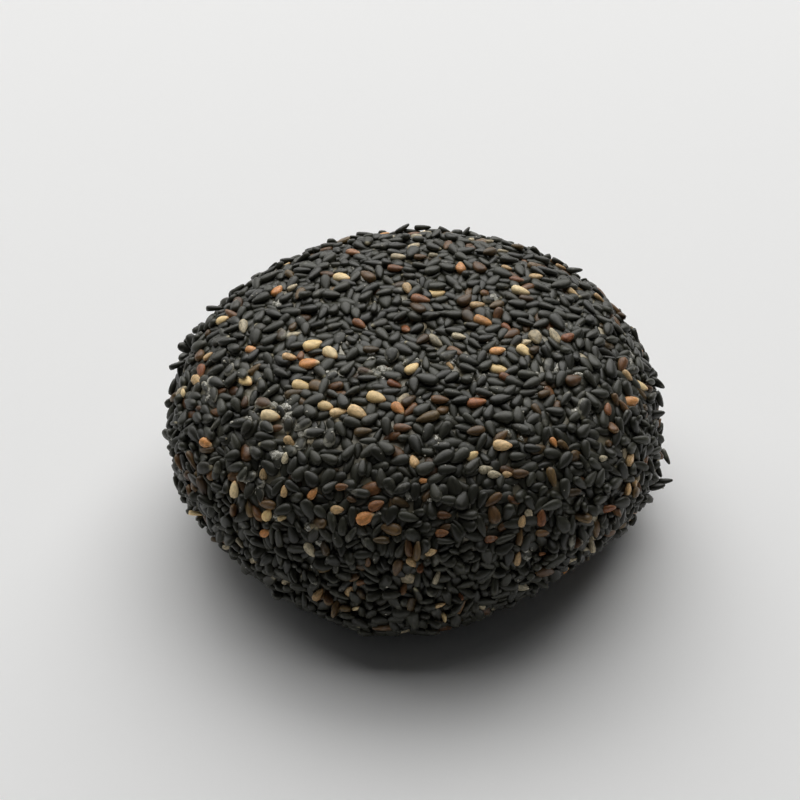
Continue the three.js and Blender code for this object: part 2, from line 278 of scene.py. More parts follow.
def unit(vectors):
    return vectors / (np.linalg.norm(vectors, axis=-1, keepdims=True) + 1e-9)


# Taken off a count, this keeps an index just inside the last cell.
LAST_CELL = 1.001

# A way out that rises by this much or more is not crossed with the vertical.
STEEP = 0.9


class DoughForm:
    """The dough in millimetres: half a section of ROWS points turned about the axis, then kneaded.

    Distances from it are kept on a grid with that STEP, from LOW to MARGIN past the dough, which is
    filled BLOCK places at a time.
    """

    ROWS = 700
    STEP = 0.25
    LOW = -6.0
    MARGIN = 11
    BLOCK = 4000
    DENT_MIDDLE = (-2.0, -0.5)
    DENT_REACH = (7.5, 3.2)

    def __init__(self, settings):
        self.radius = settings.radius / MM
        self.top = settings.top / MM
        self.widest = settings.widest / MM
        self.foot = settings.foot / MM
        self.dent = settings.dent / MM
        self.section = self.draw_section(settings.shoulder, settings.belly, settings.sink / MM)
        along = unit(np.gradient(self.section, axis=0))
        self.outward = np.stack([-along[:, 1], along[:, 0]], 1)
        self.measure_distances()

    def draw_section(self, shoulder, belly, sink, count=400):
        angle = np.linspace(math.pi / 2, 0, count)
        top = np.stack([
            self.radius * np.cos(angle) ** (2 / shoulder),
            self.widest + (self.top - self.widest) * np.sin(angle) ** (2 / shoulder),
        ], 1)
        top[0] = (0, self.top)
        drop = self.widest - self.foot + sink
        end = math.asin(((self.widest - self.foot) / drop) ** (belly / 2))
        angle = np.linspace(0, end, count)[1:]
        low = np.stack([
            self.radius * np.cos(angle) ** (2 / belly),
            self.widest - drop * np.sin(angle) ** (2 / belly),
        ], 1)
        inner = np.linspace(low[-1, 0], 0, count // 4)[1:]
        base = np.stack([inner, np.full(len(inner), self.foot)], 1)
        line = np.vstack([top, low, base])
        way = np.concatenate([[0], np.cumsum(np.hypot(*np.diff(line, axis=0).T))])
        even = np.linspace(0, way[-1], self.ROWS)
        return np.stack([np.interp(even, way, line[:, 0]), np.interp(even, way, line[:, 1])], 1)

    def measure_distances(self):
        """Signed distance to the section on a grid, so that it is a look-up later."""
        radii = np.arange(0, self.radius + self.MARGIN, self.STEP)
        heights = np.arange(self.LOW, self.top + self.MARGIN, self.STEP)
        grid = np.stack(np.meshgrid(radii, heights, indexing="ij"), -1).reshape(-1, 2)
        distance = np.empty(len(grid))
        for start in range(0, len(grid), self.BLOCK):
            block = grid[start:start + self.BLOCK]
            gaps = block[:, None] - self.section[None]
            squares = (gaps ** 2).sum(-1)
            nearest = squares.argmin(1)
            rows = np.arange(len(block))
            side = (gaps[rows, nearest] * self.outward[nearest]).sum(1)
            far = np.sqrt(squares[rows, nearest])
            distance[start:start + self.BLOCK] = far * np.where(side < 0, -1, 1)
        self.distance = distance.reshape(len(radii), len(heights))
        self.slope = np.gradient(self.distance, self.STEP)

    def swell(self, turn, height):
        foot = smooth(self.widest - height, 0, self.widest)
        amount = np.ones_like(turn)
        for waves, crest, share in LOBES:
            amount += share * np.cos(waves * (turn - math.radians(crest)))
        for waves, crest, share in FOOT_LOBES:
            amount += foot * share * np.cos(waves * (turn - math.radians(crest)))
        return amount

    def dip(self, points):
        off = (points[..., :2] - self.DENT_MIDDLE) / self.DENT_REACH
        return self.dent * np.exp(-(off ** 2).sum(-1)) * smooth(points[..., 2], self.widest, self.top)

    def height_over(self, points):
        """Distance of points from the dough, and the way out of it there."""
        turn = np.arctan2(points[:, 1], points[:, 0])
        height = points[:, 2] + self.dip(points)
        radius = np.hypot(points[:, 0], points[:, 1]) / self.swell(turn, height)
        rows, columns = self.distance.shape
        at_row = np.clip(radius / self.STEP, 0, rows - LAST_CELL)
        at_column = np.clip((height - self.LOW) / self.STEP, 0, columns - LAST_CELL)
        i, j = at_row.astype(int), at_column.astype(int)
        a, b = at_row - i, at_column - j

        def read(table):
            low = table[i, j] * (1 - a) + table[i + 1, j] * a
            high = table[i, j + 1] * (1 - a) + table[i + 1, j + 1] * a
            return low * (1 - b) + high * b

        outward, upward = read(self.slope[0]), read(self.slope[1])
        way = np.stack([outward * np.cos(turn), outward * np.sin(turn), upward], 1)
        return read(self.distance), unit(way)

    def place(self, share, turn, lift, crowd):
        """Points at a share of the skin's area from the top, crowded by that much on the flank."""
        lengths = np.hypot(*np.diff(self.section, axis=0).T)
        rings = (self.section[1:, 0] + self.section[:-1, 0]) * lengths
        rings *= 1 + crowd * (1 - np.abs(self.outward[1:, 1]))
        area = np.concatenate([[0], np.cumsum(rings)])
        index = np.interp(share * area[-1], area, np.arange(len(area)))
        return self.place_along(index, turn, lift)

    def place_along(self, index, turn, lift):
        i = np.minimum(index.astype(int), len(self.section) - 2)
        part = (index - i)[:, None]
        spot = self.section[i] * (1 - part) + self.section[i + 1] * part
        out = self.outward[i] * (1 - part) + self.outward[i + 1] * part
        spot = spot + out * lift[:, None]
        points = np.stack([spot[:, 0] * np.cos(turn), spot[:, 0] * np.sin(turn), spot[:, 1]], 1)
        swell = self.swell(turn, points[:, 2])
        points[:, 2] -= self.dip(points)
        points[:, :2] *= swell[:, None]
        return points


# ----------------------------------------------------------------------------- the view


class View:
    """The camera's place and axes, and what lies under a pixel. Millimetres.

    A ray is followed from NEAREST to FARTHEST. Where it only passes the cake, a seed may stand up to
    REACH off the dough. A skin that faces the eye by less than GRAZING shows a seed's slant as it is,
    and elsewhere the seed lies along the skin but keeps a share FACING of that slant.
    """

    NEAREST = 310
    FARTHEST = 400
    RAY_STEP = 0.1
    REACH = 2.5
    GRAZING = 0.15
    FACING = 0.5

    def __init__(self, settings):
        angle = settings.elevation
        self.back = np.array([0, -math.cos(angle), math.sin(angle)])
        self.up = np.array([0, math.sin(angle), math.cos(angle)])
        self.right = np.array([1.0, 0, 0])
        self.aim = np.array([0, 0, settings.aim / MM])
        self.eye = self.aim + self.back * settings.distance / MM
        self.focus = settings.focus * RENDER_PIXELS
        self.middle = RENDER_PIXELS * (0.5 + np.array(settings.shift))

    def ray(self, x, y):
        across = (x - self.middle[0]) / self.focus
        down = (y - self.middle[1]) / self.focus
        return unit(self.right * across - self.up * down - self.back)

    def touch(self, form, x, y, lift):
        """Where the ray through a pixel meets the coat or passes nearest to it, and the way out."""
        way = self.ray(x, y)
        far = np.arange(self.NEAREST, self.FARTHEST, self.RAY_STEP)
        gap, out = form.height_over(self.eye + way * far[:, None])
        inside = np.flatnonzero(gap < lift)
        at = inside[0] if len(inside) else gap.argmin()
        height = lift if len(inside) else min(gap[at], self.REACH)
        return self.eye + way * far[at] - out[at] * (gap[at] - height), out[at], way

    def heading(self, slant, out, way):
        """A direction near the skin that looks slanted by that many degrees."""
        turn = math.radians(slant)
        seen = self.right * math.cos(turn) + self.up * math.sin(turn)
        if way @ out > -self.GRAZING:
            return seen
        along = unit(seen - way * (seen @ out) / (way @ out))
        return unit(along + self.FACING * seen)


# ----------------------------------------------------------------------------- laying the seeds


# The balls that stand for a seed of this size while it is pushed about: place along, place across
# and radius, in millimetres.
SEED_SIZE = (0.003, 0.0018, 0.00088)
SEED_BALLS = np.array((
    (-1.03, 0, 0.40), (-0.38, 0, 0.43), (0.32, 0, 0.43), (0.95, 0, 0.32),
    (-0.68, 0.42, 0.36), (-0.68, -0.42, 0.36), (0, 0.50, 0.38), (0, -0.50, 0.38),
    (0.60, 0.30, 0.34), (0.60, -0.30, 0.34),
))


def turned(frames, turns):
    """Rotation matrices turned further by small rotation vectors."""
    angle = np.linalg.norm(turns, axis=1)
    axis = turns / (angle[:, None] + 1e-12)
    cross = np.zeros((len(turns), 3, 3))
    cross[:, 0, 1], cross[:, 0, 2], cross[:, 1, 2] = -axis[:, 2], axis[:, 1], -axis[:, 0]
    cross[:, 1, 0], cross[:, 2, 0], cross[:, 2, 1] = axis[:, 2], -axis[:, 1], axis[:, 0]
    sine, cosine = np.sin(angle)[:, None, None], np.cos(angle)[:, None, None]
    return (np.eye(3) + sine * cross + (1 - cosine) * (cross @ cross)) @ frames


def close_pairs(points, reach):
    """Every pair of points that are nearer than reach, found cell by cell."""
    cell = ((points - points.min(0)) / reach).astype(np.int64) + 1
    size = cell.max(0) + 2
    key = (cell[:, 0] * size[1] + cell[:, 1]) * size[2] + cell[:, 2]
    order = np.argsort(key, kind="stable")
    ranked = key[order]
    found = []
    span = (-1, 0, 1)
    steps = [(a, b, c) for a in span for b in span for c in span if (a, b, c) >= (0, 0, 0)]
    for a, b, c in steps:
        other = key + (a * size[1] + b) * size[2] + c
        first = np.searchsorted(ranked, other, "left")
        count = np.searchsorted(ranked, other, "right") - first
        i = np.repeat(np.arange(len(points)), count)
        offset = np.repeat(first - np.concatenate([[0], np.cumsum(count)[:-1]]), count)
        j = order[offset + np.arange(count.sum())]
        near = ((points[i] - points[j]) ** 2).sum(1) < reach * reach
        if (a, b, c) == (0, 0, 0):
            near &= i < j
        found.append(np.stack([i[near], j[near]], 1))
    return np.vstack(found)


class Coat:
    """The laid seeds: middles, frames (length, width, thickness axes), sizes and kinds."""

    SEED = 5

    # How the seeds start: the least lift over the dough and its spread, how far they are off their even
    # places, the lift of the marked ones, and what the flank and standing up add to it.
    START_LIFT = 0.45
    LIFT_SPREAD = 1.1
    JITTER = 0.5
    MARK_LIFT = 1.0
    FLANK_LIFT = 0.4
    PROUD_LIFT = 0.5

    # How far they lean, in radians: on the level, and how much more on the flank. The last one is the
    # least and the most that a proud seed rises.
    ROLL = (0.2, 1.0)
    PITCH = (0.15, 0.6)
    MARKED_ROLL = (0.1, 0.4)
    MARKED_PITCH = (0.05, 0.15)
    PROUD_PITCH = (0.5, 1.1)

    # Their size (mean, spread, least and most), how far their length, width and thickness stray from it,
    # how thick the marked ones are, and the least and most of a stray.
    SIZE = (0.97, 0.08, 0.78, 1.18)
    STRAY = (0.06, 0.14, 0.12)
    MARKED_THICKNESS = 1.05
    STRAY_LIMITS = (0.72, 1.35)

    # How high they may lie: what the flank adds, the spread from seed to seed, what standing up adds,
    # and the room over a marked one's middle.
    FLANK_ROOF = 0.7
    ROOF_SPREAD = 0.6
    PROUD_ROOF = 1.3
    MARK_ROOF = 0.8

    # How they settle. Balls within NEARBY of each other are paired anew every PAIRING steps, and the
    # frames are squared every SQUARING. A ball may sink SUNK into the dough. Seeds are pulled down by a
    # share PULL of what they stick out, drift towards the dough, turn to lie flat on the level parts,
    # and turn no more than MOST_TURN in a step. LEVER keeps short arms from turning a seed too far.
    # A step goes HASTE times as far as the contacts ask, and marked and proud seeds yield less to it.
    NEARBY = 1.15
    PAIRING = 6
    SQUARING = 20
    SUNK = 0.3
    PULL = 0.35
    HASTE = 1.5
    LEVER = 0.25
    MOST_TURN = 0.2
    LIE_FLAT = 0.04
    DRIFT = 0.05
    MARKED_YIELD = 0.15
    PROUD_YIELD = 0.6

    # What covers a marked seed: a loose one that is nearer to the eye by between LEVEL and BEYOND, and
    # whose length, up to a share LINE of it, is seen to pass one of the places LOOKED_AT along the marked
    # one within a share COVER of their half widths. It is laid PRESSED over the dough if that has ROOM.
    LOOKED_AT = (-0.45, 0, 0.45)
    LINE = 0.9
    COVER = 0.5
    LEVEL = 0.15
    BEYOND = 4
    PRESSED = 0.35
    ROOM = 1.0

    # A seed's middle stays this many times its reach downwards over the floor.
    FLOOR_ROOM = 1.3

    # A film is whole up to this share of a smear's radius, and ends this far past the radius.
    FILM_START = 0.7
    FILM_END = 1.2

    # Crumbs: their chance where no dough has come up, how far they stray round a seed, how deep they sit
    # in it (a share of its half size), and the height under which there are none.
    CRUMB_CHANCE = 0.15
    CRUMB_STRAY = 0.75
    CRUMB_DEPTH = 0.93
    CRUMB_HEIGHT = 0.5

    def __init__(self, form, view, settings):
        self.form = form
        self.random = np.random.default_rng(self.SEED)
        self.stretch = np.array((settings.length, settings.width, settings.thickness)) / SEED_SIZE
        self.scatter(view, settings.count, settings.crowd, settings.proud)
        self.settle(settings.press / MM, settings.steps)
        self.name_kinds(view)
        self.clear_view(view)
        self.lift_off_floor()
        self.find_films(view)

    def scatter(self, view, count, crowd, proud):
        random = self.random
        golden = math.pi * (3 - math.sqrt(5))
        index = np.arange(count)
        lift = self.START_LIFT + self.LIFT_SPREAD * random.random(count)
        middle = self.form.place((index + 0.5) / count, index * golden, lift, crowd)
        middle += random.normal(0, self.JITTER, middle.shape)

        marks = [view.touch(self.form, row[0], row[1], self.MARK_LIFT) for row in MARKED_SEEDS]
        spots = np.array([mark[0] for mark in marks])
        gaps = ((middle[:, None] - spots[None]) ** 2).sum(-1)
        chosen = []
        for column in range(len(spots)):
            gaps[chosen, column] = np.inf
            chosen.append(int(gaps[:, column].argmin()))
        self.marked = np.array(chosen)
        middle[self.marked] = spots

        _, out = self.form.height_over(middle)
        for seed, mark in zip(self.marked, marks):
            out[seed] = mark[1]
        level = np.where(np.abs(out[:, 2:]) < STEEP, [[0, 0, 1.0]], [[1.0, 0, 0]])
        side = unit(np.cross(out, level))
        other = np.cross(out, side)
        heading = random.random(count)[:, None] * 2 * math.pi
        length = np.cos(heading) * side + np.sin(heading) * other
        for seed, mark, row in zip(self.marked, marks, MARKED_SEEDS):
            length[seed] = view.heading(row[2], mark[1], mark[2])
        across = unit(np.cross(out, length))
        frames = np.stack([length, across, np.cross(length, across)], -1)
        flank = 1 - np.abs(out[:, 2])
        roll = self.ROLL[0] + self.ROLL[1] * flank
        roll[self.marked] = self.MARKED_ROLL[0] + self.MARKED_ROLL[1] * flank[self.marked]
        pitch = self.PITCH[0] + self.PITCH[1] * flank
        pitch[self.marked] = self.MARKED_PITCH[0] + self.MARKED_PITCH[1] * flank[self.marked]
        lean = random.normal(0, 1, (count, 3))
        rise = lean[:, 1] * pitch
        self.proud = random.random(count) < proud
        self.proud[self.marked] = False
        upright = random.choice((-1, 1), count) * random.uniform(*self.PROUD_PITCH, count)
        rise[self.proud] = upright[self.proud]
        lean = length * (lean[:, 0] * roll)[:, None] + across * rise[:, None]
        self.frames = turned(frames, lean)
        self.middle = middle + out * (self.FLANK_LIFT * flank + self.PROUD_LIFT * self.proud)[:, None]
        mean, spread, least, most = self.SIZE
        self.size = np.clip(random.normal(mean, spread, count), least, most)
        self.size[self.marked] = [row[3] for row in MARKED_SEEDS]
        build = random.normal((1, 1, 1), self.STRAY, (count, 3))
        self.build = np.clip(build, *self.STRAY_LIMITS) * self.size[:, None]
        for seed, row in zip(self.marked, MARKED_SEEDS):
            self.build[seed] = row[3] * np.array((1, PLUMPNESS.get(row[4], 1), self.MARKED_THICKNESS))

    def settle(self, press, steps):
        """Pushes the seeds apart, off the dough and the floor, and presses them on."""
        count, balls = len(self.middle), len(SEED_BALLS)
        own = np.repeat(np.arange(count), balls)
        flat = np.column_stack([SEED_BALLS[:, :2], np.zeros(balls)])
        local = (flat[None] * self.size[:, None, None]).reshape(-1, 3) * self.stretch
        radius = (SEED_BALLS[None, :, 2] * self.size[:, None]).reshape(-1) * self.stretch[2]
        over, skin = self.form.height_over(self.middle)
        flank = 1 - np.abs(skin[:, 2])
        roof = press + self.FLANK_ROOF * flank + self.ROOF_SPREAD * self.random.random(count)
        roof += self.PROUD_ROOF * self.proud
        roof[self.marked] = np.maximum(roof, over + self.MARK_ROOF)[self.marked]
        roof = roof[own]
        yielding = np.ones(count)
        yielding[self.marked] = self.MARKED_YIELD
        yielding[self.proud] = self.PROUD_YIELD
        middle, frames = self.middle, self.frames

        def gather(seeds, values):
            return np.stack([np.bincount(seeds, values[:, k], minlength=count) for k in range(3)], 1)

        for step in range(steps):
            centres = (frames[own] @ local[:, :, None])[:, :, 0] + middle[own]
            if step % self.PAIRING == 0:
                pairs = close_pairs(centres, self.NEARBY)
                pairs = pairs[own[pairs[:, 0]] != own[pairs[:, 1]]]
            first, second = pairs.T
            between = centres[first] - centres[second]
            apart = np.sqrt((between ** 2).sum(1)) + 1e-9
            sunk = radius[first] + radius[second] - apart
            touching = sunk > 0
            first, second = first[touching], second[touching]
            push = between[touching] * (0.5 * sunk / apart)[touching][:, None]
            over, out = self.form.height_over(centres)
            deep = radius - self.SUNK - over
            high = over + radius - roof
            low = radius - centres[:, 2]
            in_dough = np.flatnonzero(deep > 0)
            above = np.flatnonzero(high > 0)
            below = np.flatnonzero(low > 0)
            ball = np.concatenate([first, second, in_dough, above, below])
            shove = np.vstack([
                push,
                -push,
                out[in_dough] * deep[in_dough, None],
                out[above] * (-self.PULL * high[above])[:, None],
                np.outer(low[below], (0, 0, 1.0)),
            ])
            seed = own[ball]
            arm = centres[ball] - middle[seed]
            contacts = np.maximum(np.bincount(seed, minlength=count), 1)
            reach = np.bincount(seed, (arm ** 2).sum(1), minlength=count) + self.LEVER
            turn = self.HASTE * gather(seed, np.cross(arm, shove)) / reach[:, None]
            turn *= np.minimum(1, self.MOST_TURN / (np.linalg.norm(turn, axis=1) + 1e-9))[:, None]
            move = self.HASTE * gather(seed, shove) / contacts[:, None]
            _, skin = self.form.height_over(middle)
            face = frames[:, :, 2]
            facing = np.where((face * skin).sum(1) < 0, -1.0, 1.0)[:, None]
            lie_flat = np.cross(face, skin * facing) * self.LIE_FLAT * np.abs(skin[:, 2:]) ** 3
            drift = skin * self.DRIFT * (1 - step / steps)
            middle = middle + (move - drift) * yielding[:, None]
            frames = turned(frames, (turn + lie_flat) * yielding[:, None])
            if (step + 1) % self.SQUARING == 0:
                left, _, right = np.linalg.svd(frames)
                frames = left @ right
        self.middle, self.frames = middle, frames

    def name_kinds(self, view):
        """Draws the kinds by their shares. The only pale seeds on the seen side are marked ones."""
        chances = np.array(list(KIND_SHARES.values()))
        names = np.array(list(KIND_SHARES))
        self.kind = self.random.choice(names, len(self.middle), p=chances / chances.sum())
        self.tone = self.random.random(len(self.middle))
        _, out = self.form.height_over(self.middle)
        seen = (out * (view.eye - self.middle)).sum(1) > 0
        self.kind[seen & np.isin(self.kind, PALE)] = "slate"
        for seed, row in zip(self.marked, MARKED_SEEDS):
            self.kind[seed] = row[4]

    def clear_view(self, view):
        """Presses the loose seeds that came to lie on the marked ones down, or takes them away."""
        keep = np.ones(len(self.middle), bool)
        half = self.halves()
        reach = self.frames[:, :, 0] * half[:, :1]
        for seed in self.marked:
            toward = unit(view.eye - self.middle[seed])
            flat = np.eye(3) - np.outer(toward, toward)
            seen = reach @ flat
            for share in self.LOOKED_AT:
                gap = self.middle - self.middle[seed] - share * reach[seed]
                nearer = gap @ toward
                aside = gap @ flat
                along = -(aside * seen).sum(1) / ((seen ** 2).sum(1) + 1e-6)
                along = np.clip(along, -self.LINE, self.LINE)
                distance = np.linalg.norm(aside + seen * along[:, None], axis=1)
                clear = distance > self.COVER * (half[:, 1] + half[seed, 1])
                keep &= clear | (nearer < self.LEVEL) | (nearer > self.BEYOND)
        keep[self.marked] = True
        loose = np.flatnonzero(~keep)
        gap, out = self.form.height_over(self.middle[loose])
        low = self.middle[loose] - out * (gap - self.PRESSED)[:, None]
        length = self.frames[loose, :, 0]
        length = unit(length - out * (length * out).sum(1)[:, None])
        flat = np.stack([length, np.cross(out, length), out], -1)
        for seed, spot, frame in zip(loose, low, flat):
            if np.linalg.norm(self.middle[keep] - spot, axis=1).min() > self.ROOM:
                self.middle[seed], self.frames[seed], keep[seed] = spot, frame, True
        self.middle, self.frames, self.build = self.middle[keep], self.frames[keep], self.build[keep]
        self.kind, self.tone = self.kind[keep], self.tone[keep]

    def halves(self):
        """Half of each seed's length, width and thickness."""
        return self.build * self.stretch * SEED_SIZE / (2 * MM)

    def lift_off_floor(self):
        """Raises the seeds that would reach through the floor."""
        drop = self.FLOOR_ROOM * np.sqrt(((self.frames[:, 2] * self.halves()) ** 2).sum(1))
        self.middle[:, 2] = np.maximum(self.middle[:, 2], drop)

    def find_films(self, view):
        """How near each seed is to a place where dough has come up, from 0 to 1."""
        self.film = np.zeros(len(self.middle))
        for x, y, radius, _ in MARKED_SMEARS:
            spot, _, _ = view.touch(self.form, x, y, SMEAR_HEIGHT)
            far = np.linalg.norm(self.middle - spot, axis=1)
            near = 1 - smooth(far, self.FILM_START * radius, radius + self.FILM_END)
            self.film = np.maximum(self.film, near)

    def crumb_spots(self, count):
        """Places on the outside of the seeds, more of them where dough has come up."""
        random = self.random
        chance = (self.CRUMB_CHANCE + self.film) * np.isin(self.kind, DARK)
        seed = random.choice(len(self.middle), count, p=chance / chance.sum())
        _, out = self.form.height_over(self.middle[seed])
        way = unit(out + random.normal(0, self.CRUMB_STRAY, out.shape))
        local = unit((self.frames[seed].transpose(0, 2, 1) @ way[:, :, None])[:, :, 0])
        reach = (local * self.halves()[seed] * self.CRUMB_DEPTH)[:, :, None]
        spots = self.middle[seed] + (self.frames[seed] @ reach)[:, :, 0]
        return spots[spots[:, 2] > self.CRUMB_HEIGHT]


# ----------------------------------------------------------------------------- node helpers


def add_node(tree, kind, inputs=None, **settings):
    """A node with its settings, and its inputs set to values or linked from sockets."""
    node = tree.nodes.new(kind)
    for name, value in settings.items():
        setattr(node, name, value)
    for key, value in (inputs or {}).items():
        if isinstance(value, bpy.types.NodeSocket):
            tree.links.new(value, node.inputs[key])
        else:
            node.inputs[key].default_value = value
    return node


def add_sockets(tree, way, kind, sockets):
    """Named inputs or outputs of one kind, each with its value, or with None."""
    for name, value in sockets.items():
        socket = tree.interface.new_socket(name, in_out=way, socket_type=f"NodeSocket{kind}")
        if value is not None:
            socket.default_value = value


def maths(tree, operation, a, b=0.0, c=0.0):
    return add_node(tree, "ShaderNodeMath", {0: a, 1: b, 2: c}, operation=operation).outputs[0]


def times(tree, *factors):
    product = factors[0]
    for factor in factors[1:]:
        product = maths(tree, "MULTIPLY", product, factor)
    return product


def scaled(tree, vector, share):
    return add_node(tree, "ShaderNodeVectorMath", {0: vector, "Scale": share}, operation="SCALE").outputs[0]


def clouds(tree, place, scale, detail, roughness):
    return add_node(tree, "ShaderNodeTexNoise", {
        "Vector": place, "Scale": scale, "Detail": detail, "Roughness": roughness,
    }).outputs[0]


def ranged(tree, value, low, high, start=0.0, end=1.0, kind="SMOOTHSTEP"):
    """The value brought from between low and high to between start and end."""
    return add_node(tree, "ShaderNodeMapRange", {
        "Value": value, 1: low, 2: high, 3: start, 4: end,
    }, interpolation_type=kind).outputs[0]


def mixed(tree, share, first, second):
    """The blend of two colours, each a value or a socket."""
    sockets = {0: share}
    for key, colour in ((6, first), (7, second)):
        sockets[key] = colour if isinstance(colour, bpy.types.NodeSocket) else (*colour, 1)
    return add_node(tree, "ShaderNodeMix", sockets, data_type="RGBA").outputs[2]


# ----------------------------------------------------------------------------- laying trees


def new_laying_tree(name, sizes, counts):
    """A tree with its inputs: points that carry their turn and size, sizes, counts and a material."""
    tree = bpy.data.node_groups.new(name, "GeometryNodeTree")
    add_sockets(tree, "INPUT", "Geometry", {"Points": None})
    add_sockets(tree, "INPUT", "Float", sizes)
    add_sockets(tree, "INPUT", "Int", counts)
    add_sockets(tree, "INPUT", "Material", {"Material": None})
    add_sockets(tree, "OUTPUT", "Geometry", {"Pieces": None})
    return tree, add_node(tree, "NodeGroupInput").outputs


def lay_on_points(tree, given, shape):
    """The end of such a tree: the shape on every point, made real, smooth and dressed."""
    turn, size = [
        add_node(tree, "GeometryNodeInputNamedAttribute", {"Name": name}, data_type=kind)
        for name, kind in (("turn", "QUATERNION"), ("size", "FLOAT_VECTOR"))
    ]
    copies = add_node(tree, "GeometryNodeInstanceOnPoints", {
        "Points": given["Points"],
        "Instance": shape,
        "Rotation": turn.outputs["Attribute"],
        "Scale": size.outputs["Attribute"],
    })
    real = add_node(tree, "GeometryNodeRealizeInstances", {"Geometry": copies.outputs[0]})
    rounded = add_node(tree, "GeometryNodeSetShadeSmooth", {"Geometry": real.outputs[0]})
    dressed = add_node(tree, "GeometryNodeSetMaterial", {
        "Geometry": rounded.outputs[0], "Material": given["Material"],
    })
    add_node(tree, "NodeGroupOutput", {"Pieces": dressed.outputs[0]})


def seed_tree():
    """Lays seeds: a ball drawn out, flattened, and tapered to a point at one end."""
    tree, given = new_laying_tree("lay_seeds", {
        "Length": 0.003, "Width": 0.0018, "Thickness": 0.0009,
        "Taper": 0.27, "Point": 0.28, "Bluntness": 0.12, "Flatness": 0.45,
    }, {"Sides": 8, "Rings": 7})
    ball = add_node(tree, "GeometryNodeMeshUVSphere", {
        "Segments": given["Sides"], "Rings": given["Rings"], "Radius": 1.0,
    })
    spot = add_node(tree, "GeometryNodeInputPosition").outputs[0]
    marked = add_node(tree, "GeometryNodeStoreNamedAttribute", {
        "Geometry": ball.outputs["Mesh"], "Name": "husk", "Value": spot,
    }, data_type="FLOAT_VECTOR", domain="POINT")
    across, over, along = add_node(tree, "ShaderNodeSeparateXYZ", {0: spot}).outputs
    taper = maths(tree, "SUBTRACT", 1.0, times(tree, along, given["Taper"]))
    point = times(tree, maths(tree, "MAXIMUM", along, 0.0), along, given["Point"])
    blunt = times(tree, along, along, given["Bluntness"])
    slim = maths(tree, "ADD", maths(tree, "SUBTRACT", taper, point), blunt)
    face = maths(tree, "POWER", maths(tree, "ABSOLUTE", over), given["Flatness"])
    face = times(tree, face, maths(tree, "SIGN", over))
    half_length, half_width, half_thickness = [
        times(tree, given[name], 0.5) for name in ("Length", "Width", "Thickness")
    ]
    shape = add_node(tree, "ShaderNodeCombineXYZ", {
        "X": times(tree, along, half_length),
        "Y": times(tree, across, slim, half_width),
        "Z": times(tree, face, slim, half_thickness),
    })
    drop = add_node(tree, "GeometryNodeSetPosition", {
        "Geometry": marked.outputs[0], "Position": shape.outputs[0],
    })
    lay_on_points(tree, given, drop.outputs[0])
    return tree


def crumb_tree():
    """Lays crumbs: a small ball pushed out of round."""
    tree, given = new_laying_tree("lay_crumbs", {"Size": 0.0004, "Lumps": 1.5, "Grain": 1.3}, {"Detail": 2})
    ball = add_node(tree, "GeometryNodeMeshIcoSphere", {"Subdivisions": given["Detail"], "Radius": 1.0})
    spot = add_node(tree, "GeometryNodeInputPosition").outputs[0]
    cloud = clouds(tree, spot, given["Grain"], detail=1.0, roughness=0.5)
    lump = times(tree, maths(tree, "SUBTRACT", cloud, 0.5), given["Lumps"])
    swell = maths(tree, "ADD", lump, 1.0)
    shape = add_node(tree, "GeometryNodeSetPosition", {
        "Geometry": ball.outputs["Mesh"],
        "Position": scaled(tree, spot, times(tree, swell, given["Size"], 0.5)),
    })
    lay_on_points(tree, given, shape.outputs[0])
    return tree


def set_input(modifier, name, value):
    for item in modifier.node_group.interface.items_tree:
        if item.item_type == "SOCKET" and item.in_out == "INPUT" and item.name == name:
            modifier[item.identifier] = value
            return
    raise RuntimeError(f"the tree has no input named {name}")


# ----------------------------------------------------------------------------- materials


